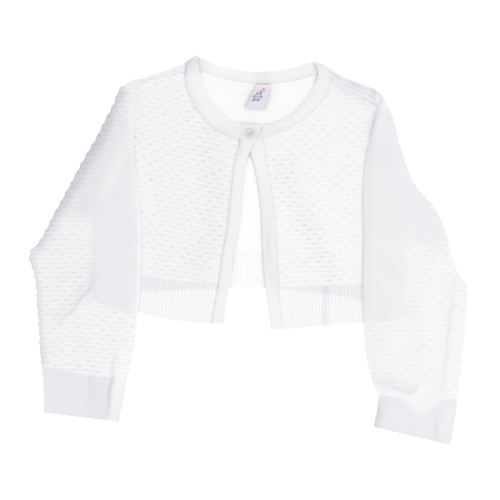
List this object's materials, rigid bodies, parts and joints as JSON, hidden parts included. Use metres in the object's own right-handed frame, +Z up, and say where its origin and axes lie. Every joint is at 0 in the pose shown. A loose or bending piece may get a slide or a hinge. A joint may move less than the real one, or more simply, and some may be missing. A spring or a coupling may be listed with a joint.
{
  "type": "cardigan",
  "caption": "Child's cropped white honeycomb-knit cardigan laid flat, ribbed hem, round neckband with a small button, sleeves folded down.",
  "frame": {"origin": "middle of the garment's outline, on the surface that it lies on", "axes": "+Z up from the surface and out of the garment's front, +Y towards the neck, +X to the right of somebody looking down at its front (the wearer's left)"},
  "size_m": [0.4608, 0.41, 0.0119],
  "materials": {
    "honeycomb_knit": "matt cotton knit with a honeycomb relief",
    "rib_knit": "matt ribbed knit",
    "plain_knit": "matt fine knit",
    "pearl_button": "glossy, pearly",
    "woven_label": "smooth woven ribbon"
  },
  "bodies": {
    "root": {"back": "honeycomb_knit", "back_hem_rib": "rib_knit", "front_right": "honeycomb_knit", "front_left": "honeycomb_knit", "front_right_hem_rib": "rib_knit", "front_left_hem_rib": "rib_knit", "sleeve_right": "honeycomb_knit", "sleeve_left": "honeycomb_knit", "cuff_right": "plain_knit", "cuff_left": "plain_knit", "neckband": "plain_knit", "front_band_right": "plain_knit", "front_band_left": "plain_knit", "button": "pearl_button", "label": "woven_label"}
  },
  "joints": []
}
